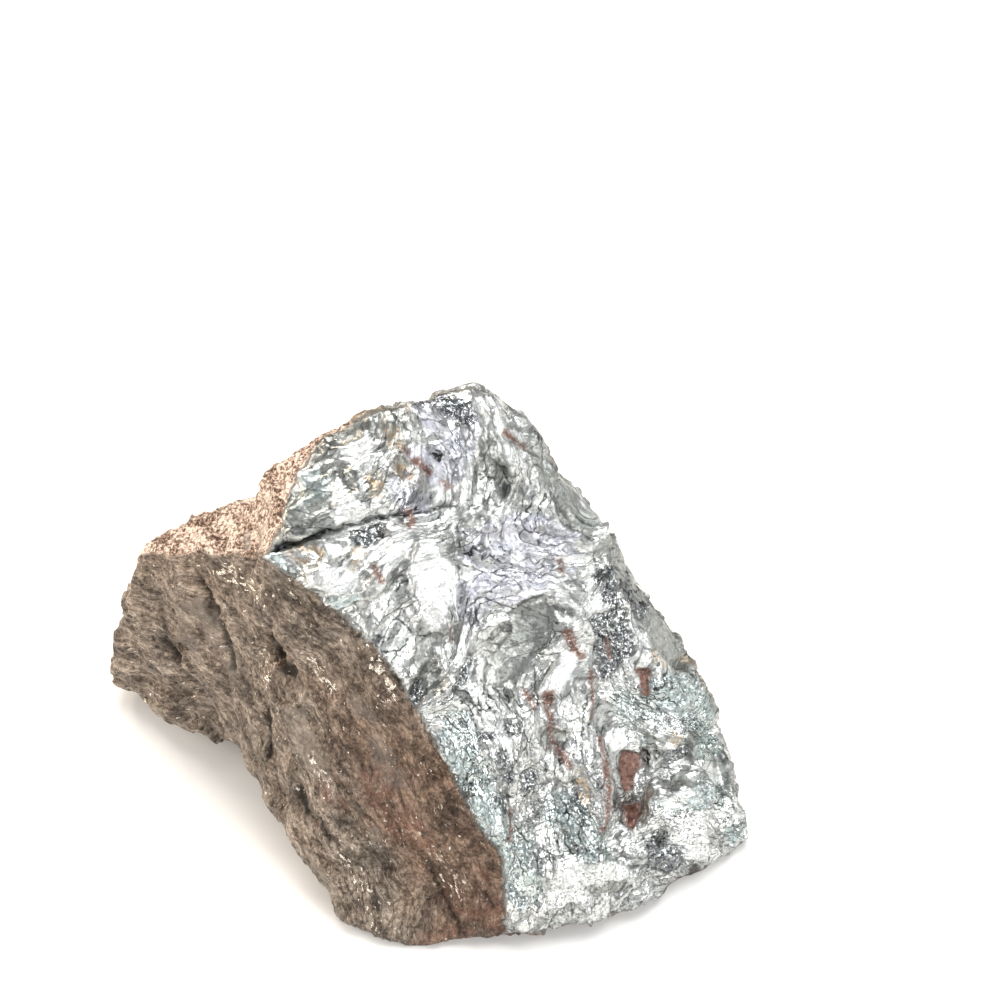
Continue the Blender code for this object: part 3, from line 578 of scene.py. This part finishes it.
class Lump:
    """Where each point of the skin lies, and how strongly it belongs to each kind of metal."""

    def __init__(self, skin):
        self.normals = skin.normals()
        self.points = skin.points.copy()
        self.broad = skin.spread(self.normals, BROAD)
        self.broad /= np.linalg.norm(self.broad, axis=1)[:, None]
        self.u, self.v, self.h = BRIGHT.coordinates(self.points)
        self.dull_place = DULL.coordinates(self.points)
        self.zones = zone_weights(self.u, self.v, self.points, ZONES)
        self.dull_zones = zone_weights(*self.dull_place[:2], self.points, DULL_ZONES)
        self.ragged = noise_at(self.points, 0.8, 4.0) * 0.18
        self.find_bright_face()
        self.find_other_sides()
        self.find_grainy_places()

    def find_bright_face(self):
        away, side = path_distance(self.u, self.v, RIDGE)
        facing = smooth_step(self.broad @ BRIGHT.out, *BRIGHT_FACING)
        self.bright = smooth_step(away * side + self.ragged, *RIDGE_BLEND) * facing
        self.on_face = self.bright * smooth_step(self.h, *FACE_DEPTH)
        place = (self.u, self.v, self.h)
        self.flat, self.facet_move = lay_facets(*place, self.on_face, self.points, self.zones)
        self.flow = bright_coordinates(*place, self.points)
        self.cracks = fissure_depth(self.u, self.v, self.points) * self.bright

    def find_other_sides(self):
        """The dull face, the warm crust on the shoulder and the rim, painted partly as sunlit, and the
        bright back.
        """
        x, _, z = self.points.T
        self.on_dull = smooth_step(self.broad @ DULL.out, *DULL_FACING) * (1.0 - self.bright)
        self.dull_flow = dull_coordinates(*self.dull_place, self.points)
        shoulder = smooth_step(self.broad @ SHOULDER_OUT + self.ragged * 0.08, *SHOULDER_FACING)
        shoulder *= smooth_step(-x, *SHOULDER_LEFT) * smooth_step(z, *SHOULDER_HEIGHT) * (1.0 - self.bright)
        self.warm = np.maximum(shoulder, self.zones["warm"] * smooth_step(z, *RIM_HEIGHT))
        uneven = noise_at(self.points, 5.0, 6.0) * 0.22 + noise_at(self.points, 0.9, 15.0) * 0.06
        far_side = smooth_step(self.broad @ FAR_OUT + uneven, *FAR_FACING)
        far_side *= smooth_step(x + uneven * FAR_RAGGED, *FAR_EDGE)
        self.bright_all = np.maximum(self.bright, far_side * FAR_SHARE * (1.0 - self.warm))

    def find_grainy_places(self):
        """Where the bright metal is small grains instead of plates: the dark places, and low down."""
        low = smooth_step(-self.v, -2.0, 4.0)
        foot = smooth_step(-self.v - 0.35 * self.u, 5.0, 12.0) * 0.7
        grainy = np.maximum.reduce([self.zones["dark"], self.zones["teal"] * low * 0.8, foot])
        spotty = noise_at(self.points, 2.5, 27.0) * (0.15 + 0.3 * low)
        self.grainy = np.clip(grainy + spotty, 0.0, 1.0)


def bright_relief(lump):
    """How far the bright metal moves out: terraces, leaning plates, folds, flat facets and cracks."""
    size, height = TERRACE
    phase = lump.flow[:, 1] / size
    broken = np.clip(0.55 + noise_at(lump.flow * (0.35, 1.2, 0.2), 1.0, 9.0), 0.0, 1.0)
    relief = (phase - np.floor(phase) - 0.5) * height * broken * (1.0 - 0.7 * lump.flat)
    size, height = PLATES
    uneven = chip_relief(lump.flow * (0.5, 1.0, 0.5) / size, 31.0) * height
    size, height = FOLDS
    uneven += noise_at(lump.flow * (0.22, 1.0, 0.5), size, 6.0) * height
    relief += uneven * (1.0 - lump.flat)
    return relief * lump.bright + lump.facet_move * lump.on_face - lump.cracks


def dull_relief(lump):
    """How far the dull metal moves out: lumps, leaning plates, fibres and pits."""
    size, height = LUMPS
    relief = noise_at(lump.dull_flow * (0.6, 1.0, 1.0), size, 12.0) * height
    size, height = DULL_PLATES
    plates = chip_relief(lump.dull_flow * (0.5, 0.9, 0.6) / size, 51.0) * height
    size, height = FIBRES
    bands = np.abs(noise_at(lump.dull_flow * (1.0 - FIBRE_STRETCH, 1.0, 1.0), size, 2.0))
    relief += (plates + (1.0 - bands * 2.0) * height) * (1.0 - lump.warm)
    return relief * (1.0 - lump.bright) - lump.dull_zones["hollow_shade"] * lump.on_dull * PIT_DEPTH


def broken_relief(lump):
    """How far chips move the skin out all over, and grains in the crust and in the grainy places."""
    size, height = GRAINS
    relief = noise_at(lump.points, size, 7.0) * height * (lump.warm + 0.5 * lump.bright * lump.grainy)
    stretched = lump.points - np.outer(lump.points @ GRAIN, GRAIN) * 0.5
    for index, (size, height, fewer) in enumerate(CHIPS):
        share = 1.05 - lump.bright * fewer * (1.0 - lump.grainy)
        chips = chip_relief(stretched / size, 11.0 * index)
        relief += chips * height * share * (1.0 - 0.6 * lump.flat)
    return relief


def paint(skin, lump):
    """Stores the weights that the material reads."""
    fibrous = 0.65 + noise_at(lump.points, 3.5, 17.0) * 1.6 + smooth_step(-lump.v, -2.0, 6.0) * 0.35
    skin.store("fibrous", np.maximum(np.clip(fibrous, 0.0, 1.0), lump.zones["lavender"]))
    skin.store("lined", 0.65 + 0.35 * smooth_step(noise_at(lump.points, 3.0, 21.0), -0.35, 0.25))
    skin.store("grainy", lump.grainy)
    skin.store("bright", lump.bright_all)
    skin.store("warm", lump.warm)
    on_bright = lump.bright[:, None] > 0.5
    skin.store("flow", np.where(on_bright, lump.flow, lump.dull_flow * DULL_FINENESS))
    skin.store("flat", lump.flat * lump.on_face)
    # Painted shade in the deeper cracks, which the material draws dark.
    skin.store("crack_shade", np.clip(lump.cracks * 2.0 - 0.4, 0.0, 1.0))
    below_edge = path_distance(*lump.dull_place[:2], DULL_EDGE)[0] + noise_at(lump.points, 4.0, 33.0) * 2.5
    ruddy = (1.0 - smooth_step(below_edge, *RUDDY_BAND)) * smooth_step(lump.points[:, 2], *RUDDY_HEIGHT)
    skin.store("ruddy", ruddy)
    for name, weight in lump.dull_zones.items():
        skin.store(name, weight * lump.on_dull)
    for name in BRIGHT_TINTS:
        skin.store(name, lump.zones[name] * lump.bright)


def build_surface():
    obj = fine_copy()
    skin = Skin(obj.data)
    free = round_facets(skin)
    lump = Lump(skin)
    relief = bright_relief(lump) + dull_relief(lump) + broken_relief(lump)
    skin.points = lump.points + lump.normals * (relief[:, None] * free)
    low, high = (np.array(corner) / MM for corner in CAD_BOX)
    skin.points = np.clip(skin.points, low, high)
    paint(skin, lump)
    skin.points *= MM
    skin.store_points()
    for face in obj.data.polygons:
        face.use_smooth = True
    return obj


class Recipe:
    """A material's nodes. Each call adds one or a few and gives back their output."""

    def __init__(self, name):
        self.material = bpy.data.materials.new(name)
        self.material.use_nodes = True
        self.tree = self.material.node_tree
        self.shader = self.tree.nodes["Principled BSDF"]

    def feed(self, socket, value):
        if isinstance(value, bpy.types.NodeSocket):
            self.tree.links.new(value, socket)
        else:
            socket.default_value = value

    def add(self, kind, inputs, output=0, **settings):
        node = self.tree.nodes.new(kind)
        for key, value in settings.items():
            setattr(node, key, value)
        for key, value in inputs.items():
            self.feed(node.inputs[key], value)
        return node.outputs[output]

    def weight(self, name):
        return self.add("ShaderNodeAttribute", {}, "Fac", attribute_name=name)

    def place(self, scale=(1.0, 1.0, 1.0), vector=None):
        source = vector or self.add("ShaderNodeTexCoord", {}, "Object")
        return self.add("ShaderNodeMapping", {"Vector": source, "Scale": scale})

    def noise(self, place, scale, detail, roughness):
        inputs = {"Vector": place, "Scale": scale, "Detail": detail, "Roughness": roughness}
        return self.add("ShaderNodeTexNoise", inputs, "Fac")

    def math(self, operation, a, b=0.0, clamp=False):
        return self.add("ShaderNodeMath", {0: a, 1: b}, operation=operation, use_clamp=clamp)

    def plus(self, first, *others):
        for other in others:
            first = self.math("ADD", first, other)
        return first

    def times(self, first, *others):
        for other in others:
            first = self.math("MULTIPLY", first, other)
        return first

    def most(self, first, *others):
        """The largest of the numbers."""
        for other in others:
            first = self.math("MAXIMUM", first, other)
        return first

    def rest(self, value):
        """What is left of 1."""
        return self.math("SUBTRACT", 1.0, value)

    def fit(self, value, low, high, to_low=0.0, to_high=1.0):
        """A smooth step from one number to another as the value goes from low to high."""
        inputs = {"Value": value, "From Min": low, "From Max": high, "To Min": to_low, "To Max": to_high}
        return self.add("ShaderNodeMapRange", inputs, "Result", interpolation_type="SMOOTHSTEP")

    def mix(self, share, a, b, blend="MIX"):
        """A colour that goes from a to b as share goes from 0 to 1."""
        node = self.tree.nodes.new("ShaderNodeMix")
        node.data_type = "RGBA"
        node.blend_type = blend
        self.feed(node.inputs[0], share)
        self.feed(node.inputs[6], a if isinstance(a, bpy.types.NodeSocket) else (*a, 1.0))
        self.feed(node.inputs[7], b if isinstance(b, bpy.types.NodeSocket) else (*b, 1.0))
        return node.outputs[2]

    def blend(self, share, a, b):
        """A number that goes from a to b as share goes from 0 to 1."""
        node = self.tree.nodes.new("ShaderNodeMix")
        node.data_type = "FLOAT"
        self.feed(node.inputs[0], share)
        self.feed(node.inputs[2], a)
        self.feed(node.inputs[3], b)
        return node.outputs[0]

    def ramp(self, value, stops):
        node = self.tree.nodes.new("ShaderNodeValToRGB")
        self.feed(node.inputs["Fac"], value)
        elements = node.color_ramp.elements
        while len(elements) < len(stops):
            elements.new(1.0)
        for element, (position, colour) in zip(elements, stops):
            element.position = position
            element.color = (*colour, 1.0)
        return node.outputs["Color"]

    def vectors(self, operation, a, b, output=0):
        second = "Scale" if operation == "SCALE" else 1
        return self.add("ShaderNodeVectorMath", {0: a, second: b}, output, operation=operation)

    def plates(self, place, scale):
        """Crystal planes that lean at random: their height, about -0.5 to 0.5, and a random colour each."""
        node = self.tree.nodes.new("ShaderNodeTexVoronoi")
        self.feed(node.inputs["Vector"], place)
        self.feed(node.inputs["Scale"], scale)
        centre = self.vectors("SCALE", node.outputs["Position"], scale)
        arm = self.vectors("SUBTRACT", self.vectors("SCALE", place, scale), centre)
        lean = self.vectors("SUBTRACT", node.outputs["Color"], (0.5, 0.5, 0.5))
        return self.vectors("DOT_PRODUCT", arm, lean, "Value"), node.outputs["Color"]

    def plate_edges(self, place, scale):
        """Distance to the nearest edge between the same planes."""
        inputs = {"Vector": place, "Scale": scale}
        return self.add("ShaderNodeTexVoronoi", inputs, "Distance", feature="DISTANCE_TO_EDGE")

    def warped(self, place, size, reach):
        """The place moved about a little, so that straight edges become ragged."""
        inputs = {"Vector": place, "Scale": 1.0 / size, "Detail": 2.0}
        sway = self.add("ShaderNodeTexNoise", inputs, "Color")
        sway = self.vectors("SUBTRACT", sway, (0.5, 0.5, 0.5))
        return self.vectors("ADD", place, self.vectors("SCALE", sway, reach))


class Metal(Recipe):
    """The lump's material: bright plates, dull fibres with painted glints, and a warm crust partly painted
    as sunlit, by the weights.
    """

    def __init__(self):
        super().__init__("broken_chromium")
        self.whole = self.place((1.0 / MM,) * 3)
        self.flow = self.add("ShaderNodeAttribute", {}, "Vector", attribute_name="flow")
        self.bright = self.weight("bright")
        self.grit = self.noise(self.whole, 2.4, 4.0, 0.75)
        self.lay_plates()
        self.draw_lines()
        self.lay_fibres()
        self.set_colour()
        self.set_gloss()
        self.set_bump()

    def lay_plates(self):
        """Large slabs and small flakes, a random number for each, and the bright metal's tone from them."""
        ragged = self.warped(self.flow, 0.7, 0.45)
        stretch, fineness = SLABS
        slabs = self.place(stretch, ragged)
        self.slab_height, colour = self.plates(slabs, fineness)
        self.slab_edge = self.plate_edges(slabs, fineness)
        self.slab_lot = self.add("ShaderNodeSeparateColor", {0: colour}, "Red")
        stretch, fineness = FLAKES
        flakes = self.place(stretch, ragged)
        self.flake_height, colour = self.plates(flakes, fineness)
        self.flake_edge = self.plate_edges(flakes, fineness)
        self.flake_lot = self.add("ShaderNodeSeparateColor", {0: colour}, "Green")
        lots = self.plus(self.times(self.slab_lot, 0.45), self.times(self.flake_lot, 0.30))
        self.tone = self.plus(lots, self.fit(self.grit, 0.38, 0.60, 0.0, 0.20))

    def wavy_lines(self):
        """Broken, wavy lines that follow the flow, and where they show."""
        across = self.add("ShaderNodeSeparateXYZ", {0: self.flow}, "Y")
        wiggle = self.times(self.noise(self.whole, 0.9, 3.0, 0.6), 2.2)
        saw = self.math("FRACT", self.plus(self.math("DIVIDE", across, LINE_PITCH), wiggle))
        line = self.rest(self.fit(self.math("PINGPONG", saw, 0.5), 0.05, 0.17))
        shown = self.fit(self.noise(self.place(LINE_STRETCH, self.flow), 1.1, 3.0, 0.6), 0.46, 0.58)
        return self.times(line, shown), shown

    def draw_lines(self):
        """The dark lines: wavy lines, seams between the plates where those are few, and painted shade in the
        open cracks.
        """
        wavy, shown = self.wavy_lines()
        seams = self.rest(self.fit(self.slab_edge, 0.006, 0.055))
        seams = self.times(seams, self.blend(shown, 0.9, 0.25))
        thin_seams = self.rest(self.fit(self.flake_edge, 0.02, 0.12))
        thin_seams = self.times(thin_seams, self.fit(self.grit, 0.46, 0.58, 0.0, 0.72))
        lines = self.most(self.times(wavy, self.weight("fibrous")), seams, thin_seams)
        kept = self.times(self.weight("lined"), self.blend(self.weight("flat"), 1.0, 0.55))
        self.lines = self.most(self.times(lines, kept), self.weight("crack_shade"))

    def lay_fibres(self):
        """The streaky grain of the dull metal, and the painted glints in it."""
        along = self.place(STREAKS, self.flow)
        streaks = self.noise(along, 2.0, 4.0, 0.70)
        crease = self.math("PINGPONG", self.times(streaks, 6.0), 0.5)
        crease = self.times(self.math("SUBTRACT", crease, 0.25), 0.08)
        self.fibre = self.plus(self.blend(0.60, streaks, self.grit), crease)
        # Painted glints: specks of pale colour in clusters, also made metallic and smooth.
        sparks = self.noise(along, 3.0, 2.0, 0.6)
        clusters = self.times(self.fit(self.noise(self.whole, 0.40, 3.0, 0.6), 0.40, 0.66), 0.085)
        sparks = self.plus(sparks, clusters, self.times(self.weight("glint"), 0.115))
        self.glint = self.times(self.fit(sparks, 0.725, 0.745), self.rest(self.bright))

    def bright_colour(self):
        pale = self.ramp(self.tone, CLEAN_METAL)
        patch = self.fit(self.noise(self.whole, 0.9, 4.0, 0.7), 0.36, 0.58, 0.25, 1.0)
        # Gray metal, and painted shade on planes that face away from the light.
        pale = self.mix(self.times(self.weight("gray"), 0.75), pale, GRAY_METAL_AND_SHADE)
        pale = self.mix(self.times(self.weight("lavender"), patch, 0.60), pale, LAVENDER)
        pale = self.mix(self.times(self.weight("teal"), patch, 0.50), pale, TEAL)
        # Painted highlight: near white on the facets that face the light.
        pale = self.mix(self.times(self.weight("white"), 0.75), pale, WHITE_METAL_AND_HIGHLIGHT)
        # Dark granular metal, with painted shade in pits, ledges and planes facing away from the light.
        dusky = self.fit(self.noise(self.whole, 3.2, 4.0, 0.78), 0.38, 0.58, 0.25, 0.95)
        pale = self.mix(self.times(self.weight("dark"), dusky), pale, DARK_CRYSTALS_AND_SHADE)
        pepper = self.fit(self.noise(self.whole, 4.6, 3.0, 0.78), 0.55, 0.62)
        pepper = self.times(pepper, self.blend(self.weight("grainy"), 0.45, 0.85))
        pale = self.mix(self.most(self.lines, pepper), pale, DARK_LINES)
        stain = self.ramp(self.noise(self.whole, 2.6, 4.0, 0.75), RUST)
        broken = self.fit(self.noise(self.whole, 4.2, 4.0, 0.75), 0.40, 0.46)
        rusty = self.times(self.weight("rust"), self.most(broken, self.weight("flat")))
        pale = self.mix(rusty, pale, stain)
        tan = self.fit(self.noise(self.whole, 1.8, 4.0, 0.7), 0.40, 0.60)
        return self.mix(self.times(self.weight("tan"), tan), pale, TAN)

    def dull_colour(self):
        lots = self.plus(self.times(self.slab_lot, 0.08), self.times(self.flake_lot, 0.08))
        tone = self.plus(self.math("SUBTRACT", self.fibre, 0.08), lots)
        dull = self.ramp(tone, DULL_METAL)
        shade = self.fit(self.noise(self.whole, 0.34, 4.0, 0.65), 0.36, 0.62, 0.68, 1.28)
        shade = self.add("ShaderNodeCombineColor", {"Red": shade, "Green": shade, "Blue": shade})
        dull = self.mix(1.0, dull, shade, "MULTIPLY")
        dull = self.mix(1.0, dull, self.mix(self.weight("ruddy"), PLAIN_TINT, RUDDY_TINT), "MULTIPLY")
        # Painted shade: small pits and the dark lines are darkened as the shade inside pits and crevices.
        small_pit_shade = self.fit(self.noise(self.whole, 2.6, 3.0, 0.75), 0.62, 0.70)
        dull = self.mix(self.most(self.times(small_pit_shade, 0.65), self.times(self.lines, 0.8)), dull, SMALL_PIT_SHADE)
        dull = self.mix(self.times(self.weight("ash"), 0.34), dull, ASH)
        reddish = self.fit(self.noise(self.whole, 0.9, 4.0, 0.7), 0.40, 0.62)
        dull = self.mix(self.times(self.weight("red"), reddish, 0.5), dull, DULL_RED)
        # Painted shade: the pits and cracks of the dull face go near black.
        dull = self.mix(self.times(self.weight("hollow_shade"), 0.85), dull, HOLLOW_SHADE)
        return self.mix(self.glint, dull, GLINT)

    # The crust's granular colour, its pale pink-orange painted sunlight.
    def sunlit_crust_colour(self):
        lot = self.math("SUBTRACT", self.times(self.slab_lot, 0.10), 0.05)
        return self.ramp(self.plus(self.noise(self.whole, 3.4, 4.0, 0.75), lot), SUNLIT_CRUST)

    def set_colour(self):
        rough_side = self.mix(self.weight("warm"), self.dull_colour(), self.sunlit_crust_colour())
        self.feed(self.shader.inputs["Base Color"], self.mix(self.bright, rough_side, self.bright_colour()))

    def set_gloss(self):
        metallic = self.most(self.blend(self.bright, 0.30, 0.95), self.glint)
        metallic = self.math("SUBTRACT", metallic, self.times(self.weight("rust"), 0.6), clamp=True)
        # The painted shade in the pits and cracks also loses its shine.
        metallic = self.times(metallic, self.rest(self.weight("hollow_shade")))
        self.feed(self.shader.inputs["Metallic"], metallic)
        self.feed(self.shader.inputs["Specular IOR Level"], self.blend(self.weight("hollow_shade"), 0.5, 0.1))
        smoother = self.times(self.weight("grainy"), 0.13)
        rough_bright = self.math("SUBTRACT", self.fit(self.tone, 0.15, 0.75, 0.40, 0.27), smoother)
        rough = self.blend(self.bright, self.fit(self.fibre, 0.3, 0.7, 0.62, 0.44), rough_bright)
        self.feed(self.shader.inputs["Roughness"], self.blend(self.times(self.glint, 0.9), rough, 0.22))

    def set_bump(self):
        """The relief too fine for the skin: plates on the bright metal, and streaks and grit on the dull."""
        fine = self.plates(self.whole, 3.9)[0]
        flakes = self.times(self.flake_height, self.blend(self.weight("grainy"), 0.16, 0.50))
        steps = self.plus(self.times(self.slab_height, 1.5), flakes)
        bright = self.plus(steps, self.times(fine, self.blend(self.weight("grainy"), 0.12, 0.42)))
        dull = self.plus(self.times(self.fibre, 1.8), self.times(fine, 0.55), self.times(steps, 0.6))
        height = self.blend(self.bright, dull, bright)
        inputs = {"Height": height, "Strength": 1.0, "Distance": BUMP_HEIGHT}
        self.feed(self.shader.inputs["Normal"], self.add("ShaderNodeBump", inputs, "Normal"))


def add_floor():
    bpy.ops.mesh.primitive_plane_add(size=FLOOR_SIZE)
    floor = bpy.context.object
    floor.name = "floor"
    r = Recipe("pale_floor")
    r.feed(r.shader.inputs["Base Color"], r.ramp(r.noise(r.place(), 3.0, 2.0, 0.5), FLOOR))
    r.shader.inputs["Roughness"].default_value = 0.6
    floor.data.materials.append(r.material)


def aim_from(obj, target, azimuth, elevation, distance):
    """Puts a lamp or the camera at that side of the target, looking at it."""
    a, e = math.radians(azimuth), math.radians(elevation)
    back = Vector((math.sin(a) * math.cos(e), -math.cos(a) * math.cos(e), math.sin(e)))
    obj.location = target + back * distance
    obj.rotation_mode = "QUATERNION"
    obj.rotation_quaternion = back.to_track_quat("Z", "Y")
    bpy.context.scene.collection.objects.link(obj)


def add_light():
    world = bpy.data.worlds.new("studio")
    bpy.context.scene.world = world
    world.use_nodes = True
    background = world.node_tree.nodes["Background"]
    background.inputs["Color"].default_value = SKY_COLOUR
    background.inputs["Strength"].default_value = SKY_STRENGTH
    for name, azimuth, elevation, distance, size, power, colour in LAMPS:
        light = bpy.data.lights.new(name, "AREA")
        light.shape = "RECTANGLE"
        light.size, light.size_y = size
        light.energy = power
        light.color = colour
        aim_from(bpy.data.objects.new(name, light), LAMP_AIM, azimuth, elevation, distance)


def add_camera():
    """The photograph's view: from in front and well above, close to the lump."""
    lens = bpy.data.cameras.new("camera")
    lens.lens = LENS
    lens.clip_start = 0.005
    camera = bpy.data.objects.new("camera", lens)
    aim_from(camera, CAMERA_AIM, 0.0, CAMERA_ELEVATION, CAMERA_DISTANCE)
    bpy.context.scene.camera = camera
    bpy.context.scene.view_settings.view_transform = "Standard"


surface = build_surface()
surface.data.materials.append(Metal().material)
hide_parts(NODE)
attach(surface, "root")
add_floor()
add_light()
add_camera()
